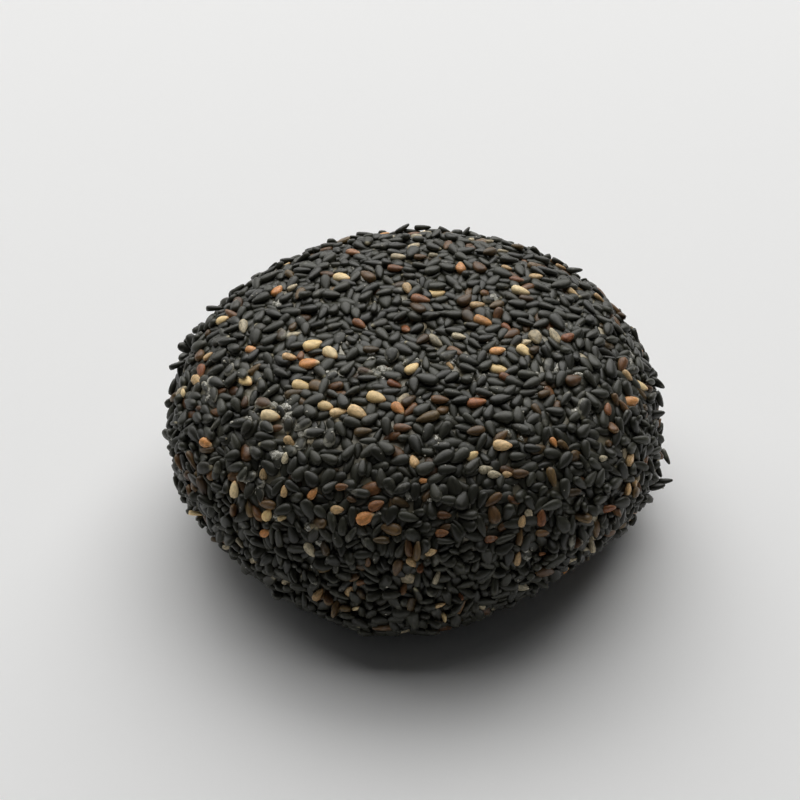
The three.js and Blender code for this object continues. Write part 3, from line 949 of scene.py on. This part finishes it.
def husk_group():
    """Marks on a seed's husk: a painted highlight along its rim, pits, a mottle and a film of dough, its
    own for each seed.
    """
    tree = bpy.data.node_groups.new("husk_marks", "ShaderNodeTree")
    add_sockets(tree, "INPUT", "Float", {"Mottle Scale": 2.2, "Pit Scale": 9.0, "Tone Spread": 0.5})
    outputs = ("Rim Highlight", "Mottle", "Shade", "Hue", "Tip", "Film", "Height")
    add_sockets(tree, "OUTPUT", "Float", dict.fromkeys(outputs))
    given = add_node(tree, "NodeGroupInput").outputs
    husk = add_node(tree, "ShaderNodeAttribute", attribute_name="husk").outputs["Vector"]
    tone = add_node(tree, "ShaderNodeAttribute", attribute_name="tone").outputs["Fac"]
    near = add_node(tree, "ShaderNodeAttribute", attribute_name="film").outputs["Fac"]
    _, over, along = add_node(tree, "ShaderNodeSeparateXYZ", {0: husk}).outputs

    # The tone also moves the pattern, so that each seed has its own part of it.
    own = scaled(tree, (97.0, 41.0, 13.0), tone)
    place = add_node(tree, "ShaderNodeVectorMath", {0: husk, 1: own}, operation="ADD").outputs[0]
    mottle = clouds(tree, place, given["Mottle Scale"], detail=3.0, roughness=0.6)
    pits = clouds(tree, place, given["Pit Scale"], detail=2.0, roughness=0.5)
    height = maths(tree, "ADD", times(tree, pits, 0.6), times(tree, mottle, 0.4))

    edge = maths(tree, "SUBTRACT", 1.0, maths(tree, "ABSOLUTE", over))
    # Painted highlight: a band round the husk's edge, where its colour is made paler for the light caught
    # along the edge.
    rim = ranged(tree, edge, 0.72, 1.0)
    tip = ranged(tree, along, 0.55, 1.0)
    spread = times(tree, maths(tree, "SUBTRACT", tone, 0.5), given["Tone Spread"])
    shade = maths(tree, "ADD", spread, 1.0)
    hue = maths(tree, "FRACT", times(tree, tone, 7.3))

    # Dough is drawn out over the seeds in patches, and more along their edges where it has come up.
    spot = add_node(tree, "ShaderNodeTexCoord").outputs["Object"]
    haze = clouds(tree, spot, 330.0, detail=5.0, roughness=0.65)
    drawn = times(tree, near, maths(tree, "ADD", times(tree, edge, 0.28), -0.02))
    film = ranged(tree, maths(tree, "ADD", haze, drawn), 0.6, 0.75)
    film = times(tree, film, maths(tree, "ADD", times(tree, near, 0.6), 0.4))
    results = (rim, mottle, shade, hue, tip, film, height)
    add_node(tree, "NodeGroupOutput", dict(zip(outputs, results)))
    return tree


# A seed's finish: the husk's other hue as factors of its colour, how dark its mottle gets, how much its rim
# is lightened as a painted highlight, its tip's colour and how far that shows, its roughness, and how
# uneven the seeds are.
FINISHES = {
    "soot": ((1.02, 1.0, 0.94), 0.62, 1.7, (0.046, 0.047, 0.034), 0.2, 0.40, 0.5),
    "charcoal": ((1.04, 1.0, 0.93), 0.62, 1.6, (0.064, 0.065, 0.048), 0.3, 0.42, 0.45),
    "slate": ((1.02, 1.0, 0.96), 0.65, 1.5, (0.078, 0.079, 0.058), 0.3, 0.44, 0.4),
    "tipped": ((1.08, 1.0, 0.92), 0.62, 1.6, (0.520, 0.470, 0.310), 1.0, 0.42, 0.5),
    "brown": ((1.40, 0.90, 0.78), 0.55, 1.5, (0.160, 0.120, 0.080), 0.5, 0.42, 1.0),
    "russet": ((1.05, 0.78, 0.70), 0.50, 1.3, (0.580, 0.320, 0.160), 0.6, 0.44, 0.6),
    "orange": ((1.00, 0.84, 0.72), 0.62, 1.05, (0.900, 0.700, 0.400), 0.9, 0.42, 0.4),
    "tan": ((1.02, 0.90, 0.82), 0.60, 1.0, (0.460, 0.230, 0.100), 0.7, 0.44, 0.5),
    "cream": ((1.00, 0.91, 0.72), 0.74, 0.93, (0.680, 0.370, 0.140), 0.8, 0.42, 0.4),
    "grey": ((1.06, 0.98, 0.90), 0.45, 1.3, (0.620, 0.550, 0.370), 0.6, 0.45, 0.6),
}

# How far the painted highlight along a seed's rim shows and how bright it may get, and how far the film of
# dough shows, its colour and its roughness.
RIM_HIGHLIGHT_SHARE = 0.8
BRIGHTEST_RIM_HIGHLIGHT = 0.95
FILM_SHARE = 0.8
FILM_COLOUR = (0.50, 0.485, 0.40)
FILM_ROUGHNESS = 0.2

# The dull and the pale colour of the dough's skins and of its crumbs, and how dim the dough gets.
SKIN_COLOURS = ((0.19, 0.184, 0.14), (0.90, 0.88, 0.79))
CRUMB_COLOURS = ((0.36, 0.34, 0.26), (0.76, 0.73, 0.64))
DIM_DOUGH = 0.45


def new_material(name, specular, roughness=None):
    """A material whose shader has its even values, with its tree and its shader."""
    material = bpy.data.materials.new(name)
    material.use_nodes = True
    shader = material.node_tree.nodes["Principled BSDF"]
    shader.inputs["Specular IOR Level"].default_value = specular
    if roughness is not None:
        shader.inputs["Roughness"].default_value = roughness
    return material, material.node_tree, shader


def colour_and_bump(tree, shader, colour, height, strength, distance):
    tree.links.new(colour, shader.inputs["Base Color"])
    bump = add_node(tree, "ShaderNodeBump", {"Strength": strength, "Distance": distance, "Height": height})
    tree.links.new(bump.outputs[0], shader.inputs["Normal"])


def seed_material(kind, colour, marks):
    other, darkest, rim_highlight_gain, tip, tip_share, rough, spread = FINISHES[kind]
    colour = np.array(colour)
    material, tree, shader = new_material(f"sesame_{kind}", specular=0.44)
    group = add_node(tree, "ShaderNodeGroup", node_tree=marks)
    group.inputs["Tone Spread"].default_value = spread
    given = group.outputs
    hue = mixed(tree, given["Hue"], colour, colour * other)
    shadow = mixed(tree, given["Hue"], colour * darkest, colour * other * darkest)
    husk = mixed(tree, ranged(tree, given["Mottle"], 0.35, 0.65), shadow, hue)
    # Painted highlight: the rim's colour is the husk's colour made paler, mixed in along the edge.
    rim = np.minimum(colour * rim_highlight_gain, BRIGHTEST_RIM_HIGHLIGHT)
    rim_highlighted = mixed(tree, times(tree, given["Rim Highlight"], RIM_HIGHLIGHT_SHARE), husk, rim)
    tipped = mixed(tree, times(tree, given["Tip"], tip_share), rim_highlighted, tip)
    shaded = scaled(tree, tipped, given["Shade"])
    filmed = mixed(tree, times(tree, given["Film"], FILM_SHARE), shaded, FILM_COLOUR)
    wet = ranged(tree, given["Film"], 0.0, 0.6, start=rough, end=FILM_ROUGHNESS, kind="LINEAR")
    tree.links.new(wet, shader.inputs["Roughness"])
    colour_and_bump(tree, shader, filmed, given["Height"], strength=0.35, distance=0.00006)
    return material


def dough_material(settings):
    """Sticky rice dough, seen in the gaps between the seeds."""
    material, tree, shader = new_material("rice_dough", specular=0.5, roughness=0.28)
    place = add_node(tree, "ShaderNodeTexCoord").outputs["Object"]
    colour = tuple(settings.colour)
    dim = tuple(DIM_DOUGH * value for value in colour)
    tint = mixed(tree, clouds(tree, place, 180.0, detail=4.0, roughness=0.6), dim, colour)
    wrinkles = clouds(tree, place, 2600.0, detail=3.0, roughness=0.6)
    colour_and_bump(tree, shader, tint, wrinkles, strength=0.6, distance=0.0001)
    return material


def smear_material():
    """Dough that was drawn up between the seeds: a dull skin with pale, wet-looking strands."""
    material, tree, shader = new_material("dough_skin", specular=0.6, roughness=0.2)
    place = add_node(tree, "ShaderNodeTexCoord").outputs["Object"]
    cloud = clouds(tree, place, 1300.0, detail=5.0, roughness=0.65)
    ridge = maths(tree, "ABSOLUTE", maths(tree, "SUBTRACT", cloud, 0.5))
    strand = ranged(tree, ridge, 0.01, 0.085, start=1.0, end=0.0)
    patch = ranged(tree, clouds(tree, place, 620.0, detail=2.0, roughness=0.5), 0.42, 0.58, start=0.4)
    share = times(tree, strand, patch)
    height = maths(tree, "ADD", times(tree, share, 0.7), times(tree, cloud, 0.5))
    tint = mixed(tree, share, *SKIN_COLOURS)
    colour_and_bump(tree, shader, tint, height, strength=0.8, distance=0.0001)
    return material


def crumb_material():
    """Specks of dried dough: off-white and a little glossy."""
    material, tree, shader = new_material("dough_crumbs", specular=0.55, roughness=0.25)
    place = add_node(tree, "ShaderNodeTexCoord").outputs["Object"]
    cloud = clouds(tree, place, 1500.0, detail=3.0, roughness=0.6)
    tint = mixed(tree, cloud, *CRUMB_COLOURS)
    colour_and_bump(tree, shader, tint, cloud, strength=0.4, distance=0.00004)
    return material


def floor_material(colour):
    material, _, shader = new_material("studio_floor", specular=0.2, roughness=0.75)
    shader.inputs["Base Color"].default_value = (*colour, 1)
    return material


# ----------------------------------------------------------------------------- pieces


def new_object(name, data):
    made = bpy.data.objects.new(name, data)
    bpy.context.scene.collection.objects.link(made)
    return made


def hand_over(piece):
    """Hangs a finished piece on the cake's body and hides the CAD part that it replaces."""
    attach(piece, BODY)
    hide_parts(NODE)


def finish_smooth(name, mesh, material):
    mesh.polygons.foreach_set("use_smooth", [True] * len(mesh.polygons))
    mesh.materials.append(material)
    hand_over(new_object(name, mesh))


def point_at(item, place, direction):
    """Puts a light or the camera at a place, with its back to a direction."""
    item.location = place
    item.rotation_mode = "QUATERNION"
    item.rotation_quaternion = Vector(direction).to_track_quat("Z", "Y")


class MOCHI_OT_stage(Operator):
    """Makes the floor, the lights and the camera"""

    bl_idname = "mochi.make_stage"
    bl_label = "Stage"

    FLOOR_HALF = 1.3
    SENSOR = 36
    CLIP = 0.01

    # The lights: name, place, size and power. All have one colour.
    LIGHTS = (
        ("window", (0.35, 1.6, 1.25), 2.2, 22),
        ("window_left", (-1.2, 1.3, 1.1), 1.6, 11),
        ("ceiling", (0.05, 0.85, 1.35), 2.2, 23),
    )
    LIGHT_COLOUR = (1.0, 0.99, 0.97)

    # The air gives a little light, and is pale past the floor's edge.
    AIR_COLOUR = (0.97, 0.98, 0.99, 1)
    AIR_LIGHT = 0.045
    AIR_SEEN = 0.7

    def execute(self, context):
        settings = context.scene.mochi_stage
        self.make_floor(settings)
        self.make_lights(context)
        self.make_camera(context, settings)
        context.scene.view_settings.view_transform = "Standard"
        return {"FINISHED"}

    def make_floor(self, settings):
        mesh = bpy.data.meshes.new("floor")
        half = self.FLOOR_HALF
        corners = [(-half, -half, 0), (half, -half, 0), (half, half, 0), (-half, half, 0)]
        mesh.from_pydata(corners, [], [(0, 1, 2, 3)])
        mesh.materials.append(floor_material(settings.floor_colour))
        new_object("floor", mesh)

    def make_lights(self, context):
        world = bpy.data.worlds.new("studio_air")
        context.scene.world = world
        world.use_nodes = True
        tree = world.node_tree
        air = tree.nodes["Background"]
        air.inputs["Color"].default_value = self.AIR_COLOUR
        seen = add_node(tree, "ShaderNodeLightPath").outputs["Is Camera Ray"]
        strength = maths(tree, "MULTIPLY_ADD", seen, self.AIR_SEEN, self.AIR_LIGHT)
        tree.links.new(strength, air.inputs["Strength"])
        for name, place, size, power in self.LIGHTS:
            light = bpy.data.lights.new(name, "AREA")
            light.size = size
            light.energy = power
            light.color = self.LIGHT_COLOUR
            point_at(new_object(name, light), place, place)

    def make_camera(self, context, settings):
        view = View(settings)
        data = bpy.data.cameras.new("camera")
        data.sensor_width = self.SENSOR
        data.lens = settings.focus * data.sensor_width
        data.shift_x = -settings.shift[0]
        data.shift_y = settings.shift[1]
        data.clip_start = self.CLIP
        camera = new_object("camera", data)
        point_at(camera, view.eye * MM, view.back)
        context.scene.camera = camera


class MOCHI_OT_dough(Operator):
    """Makes the dough under the seeds"""

    bl_idname = "mochi.make_dough"
    bl_label = "Dough"

    ROUND = 260
    RINGS = 130

    def execute(self, context):
        settings = context.scene.mochi_dough
        form = DoughForm(settings)
        last_row = len(form.section) - 1
        index = np.linspace(0, last_row, self.RINGS + 1)[1:-1]
        turn = np.arange(self.ROUND) / self.ROUND * 2 * math.pi
        where, turns = np.repeat(index, self.ROUND), np.tile(turn, len(index))
        skin = form.place_along(where, turns, np.zeros(len(where)))
        ends = np.array([0.0, len(form.section) - LAST_CELL])
        poles = form.place_along(ends, np.zeros(2), np.zeros(2))
        points = np.vstack([skin, poles]) * MM
        top, bottom = len(skin), len(skin) + 1
        faces = []
        for ring in range(len(index) - 1):
            for k in range(self.ROUND):
                a, b = ring * self.ROUND + k, ring * self.ROUND + (k + 1) % self.ROUND
                faces.append((a, a + self.ROUND, b + self.ROUND, b))
        last = (len(index) - 1) * self.ROUND
        for k in range(self.ROUND):
            following = (k + 1) % self.ROUND
            faces.append((top, k, following))
            faces.append((bottom, last + following, last + k))
        mesh = bpy.data.meshes.new("dough")
        mesh.from_pydata([tuple(p) for p in points], [], faces)
        finish_smooth("dough", mesh, dough_material(settings))
        return {"FINISHED"}


class MOCHI_OT_smears(Operator):
    """Makes the skins of dough that have come up between the seeds"""

    bl_idname = "mochi.make_smears"
    bl_label = "Smears"

    SEED = 11
    SIDES = 28
    RING_STEP = 0.16
    FEWEST_RINGS = 4

    # A marked skin's radius as a share of its mark's, and how much lower it lies than its mark.
    MARKED_SHARE = 0.9
    LOWER = 0.12

    # The other skins: how many, the share of the cake from the top that has them, their lift before
    # they are laid on, and the least and most radius and lift.
    COUNT = 60
    SPREAD = 0.8
    START_LIFT = 0.5
    RADII = (0.8, 1.6)
    LIFTS = (0.4, 0.7)

    # Waves round the edge of a skin and their share of its radius, the lumps on it, their scale, their
    # fall, spacing and octaves, and how deep its rim is tucked under the dough.
    EDGE_WAVES = ((2, 0.22), (3, 0.16), (5, 0.12))
    LUMPS = 0.22
    LUMP_SCALE = 1.7
    LUMP_OCTAVES = (0.9, 2.1, 3)
    TUCK = 0.3

    def execute(self, context):
        scene = context.scene
        form = DoughForm(scene.mochi_dough)
        view = View(scene.mochi_stage)
        random = np.random.default_rng(self.SEED)
        builder = bmesh.new()
        for x, y, radius, lift in MARKED_SMEARS:
            spot, out, _ = view.touch(form, x, y, SMEAR_HEIGHT)
            self.lay(builder, form, random, spot, out, self.MARKED_SHARE * radius, lift - self.LOWER)
        share = random.random(self.COUNT) * self.SPREAD
        turn = random.random(self.COUNT) * 2 * math.pi
        spots = form.place(share, turn, np.full(self.COUNT, self.START_LIFT), 0.0)
        _, outs = form.height_over(spots)
        for spot, out in zip(spots, outs):
            radius = random.uniform(*self.RADII)
            self.lay(builder, form, random, spot, out, radius, random.uniform(*self.LIFTS))
        mesh = bpy.data.meshes.new("smears")
        builder.to_mesh(mesh)
        builder.free()
        finish_smooth("smears", mesh, smear_material())
        return {"FINISHED"}

    def lay(self, builder, form, random, spot, out, radius, lift):
        """One skin: a lumpy mound on the dough, whose rim goes under the dough's own skin."""
        level = np.array([0, 0, 1.0]) if abs(out[2]) < STEEP else np.array([1.0, 0, 0])
        side = unit(np.cross(out, level))
        other = np.cross(out, side)
        rings = max(self.FEWEST_RINGS, round(radius / self.RING_STEP))
        phase = random.random(6) * 2 * math.pi
        turn = np.arange(self.SIDES) / self.SIDES * 2 * math.pi
        edge = np.ones(self.SIDES)
        for (waves, share), start in zip(self.EDGE_WAVES, phase):
            edge += share * np.sin(waves * turn + start)
        share = np.arange(1, rings + 1)[:, None] / rings
        across = (share * np.cos(turn) * edge * radius).ravel()
        along = (share * np.sin(turn) * edge * radius).ravel()
        points = spot + np.vstack([np.zeros(3), np.outer(across, side) + np.outer(along, other)])
        for _ in range(2):
            gap, way = form.height_over(points)
            points = points - way * gap[:, None]
        share = np.concatenate([[0], np.repeat(share.ravel(), self.SIDES)])
        places = [Vector(point * self.LUMP_SCALE + phase[3]) for point in points]
        rough = np.array([noise.fractal(place, *self.LUMP_OCTAVES) for place in places])
        height = (lift + self.LUMPS * rough) * (1 - share ** 3) - self.TUCK * share ** 4
        points = (points + way * height[:, None]) * MM
        made = [builder.verts.new(point) for point in points]
        for k in range(self.SIDES):
            following = (k + 1) % self.SIDES
            builder.faces.new((made[0], made[1 + k], made[1 + following]))
        for ring in range(rings - 1):
            for k in range(self.SIDES):
                a, b = 1 + ring * self.SIDES + k, 1 + ring * self.SIDES + (k + 1) % self.SIDES
                builder.faces.new((made[a], made[a + self.SIDES], made[b + self.SIDES], made[b]))


class MOCHI_OT_seeds(Operator):
    """Lays the coat of sesame seeds, one mesh for each kind of seed, and the crumbs of dough on it"""

    bl_idname = "mochi.make_seeds"
    bl_label = "Seeds"

    # The crumbs' random seed, their least and most size as a factor of the tree's, and how far each
    # of their three measures is off it.
    CRUMB_SEED = 23
    CRUMB_SIZES = (0.3, 0.9)
    CRUMB_STRETCH = (0.6, 1.3)

    def execute(self, context):
        scene = context.scene
        settings = scene.mochi_seeds
        coat = Coat(DoughForm(scene.mochi_dough), View(scene.mochi_stage), settings)
        tree = seed_tree()
        marks = husk_group()
        turns = np.array([Matrix(frame).to_quaternion()[:] for frame in coat.frames])
        for kind in KIND_SHARES:
            chosen = np.flatnonzero(coat.kind == kind)
            points = self.new_points(
                coat.middle[chosen], turns[chosen], coat.build[chosen],
                tone=coat.tone[chosen], film=coat.film[chosen],
            )
            self.lay(context, f"seeds_{kind}", points, tree, {
                "Length": settings.length,
                "Width": settings.width,
                "Thickness": settings.thickness,
                "Material": seed_material(kind, getattr(scene.mochi_colours, kind), marks),
            })
        random = np.random.default_rng(self.CRUMB_SEED)
        spots = coat.crumb_spots(settings.crumbs)
        turns = unit(random.normal(0, 1, (len(spots), 4)))
        sizes = random.uniform(*self.CRUMB_SIZES, (len(spots), 1))
        sizes = sizes * random.uniform(*self.CRUMB_STRETCH, (len(spots), 3))
        points = self.new_points(spots, turns, sizes)
        self.lay(context, "crumbs", points, crumb_tree(), {"Material": crumb_material()})
        return {"FINISHED"}

    def new_points(self, spots, turns, sizes, **values):
        """Points in metres that carry what the tree reads."""
        points = bpy.data.meshes.new("points")
        points.from_pydata([tuple(spot) for spot in spots * MM], [], [])
        points.attributes.new("turn", "QUATERNION", "POINT").data.foreach_set("value", turns.ravel())
        sized = points.attributes.new("size", "FLOAT_VECTOR", "POINT")
        sized.data.foreach_set("vector", sizes.ravel())
        for name, value in values.items():
            points.attributes.new(name, "FLOAT", "POINT").data.foreach_set("value", value)
        return points

    def lay(self, context, name, points, tree, inputs):
        """One piece: the tree's shape on all the points, as a plain mesh."""
        layer = new_object("layer", points)
        modifier = layer.modifiers.new("lay", "NODES")
        modifier.node_group = tree
        for label, value in inputs.items():
            set_input(modifier, label, value)
        evaluated = layer.evaluated_get(context.evaluated_depsgraph_get())
        mesh = bpy.data.meshes.new_from_object(evaluated)
        bpy.data.objects.remove(layer)
        mesh.name = name
        hand_over(new_object(name, mesh))


class MOCHI_PT_panel(Panel):
    bl_label = "Sesame mochi"
    bl_idname = "MOCHI_PT_panel"
    bl_space_type = "VIEW_3D"
    bl_region_type = "UI"
    bl_category = "Mochi"

    def draw(self, context):
        for group in SETTINGS:
            settings = getattr(context.scene, group)
            box = self.layout.box()
            for name in settings.bl_rna.properties.keys():
                if name not in ("rna_type", "name"):
                    box.prop(settings, name)
        for operator in OPERATORS:
            self.layout.operator(operator.bl_idname)


OPERATORS = (MOCHI_OT_stage, MOCHI_OT_dough, MOCHI_OT_smears, MOCHI_OT_seeds)
SETTINGS = {
    "mochi_dough": MochiDoughSettings,
    "mochi_seeds": MochiSeedSettings,
    "mochi_colours": MochiColourSettings,
    "mochi_stage": MochiStageSettings,
}
CLASSES = (*SETTINGS.values(), *OPERATORS, MOCHI_PT_panel)


def register():
    for kind in CLASSES:
        bpy.utils.register_class(kind)
    for name, kind in SETTINGS.items():
        setattr(bpy.types.Scene, name, PointerProperty(type=kind))


def unregister():
    for name in SETTINGS:
        delattr(bpy.types.Scene, name)
    for kind in reversed(CLASSES):
        bpy.utils.unregister_class(kind)


def main():
    register()
    bpy.ops.mochi.make_stage()
    bpy.ops.mochi.make_dough()
    bpy.ops.mochi.make_smears()
    bpy.ops.mochi.make_seeds()


if __name__ == "__main__":
    main()
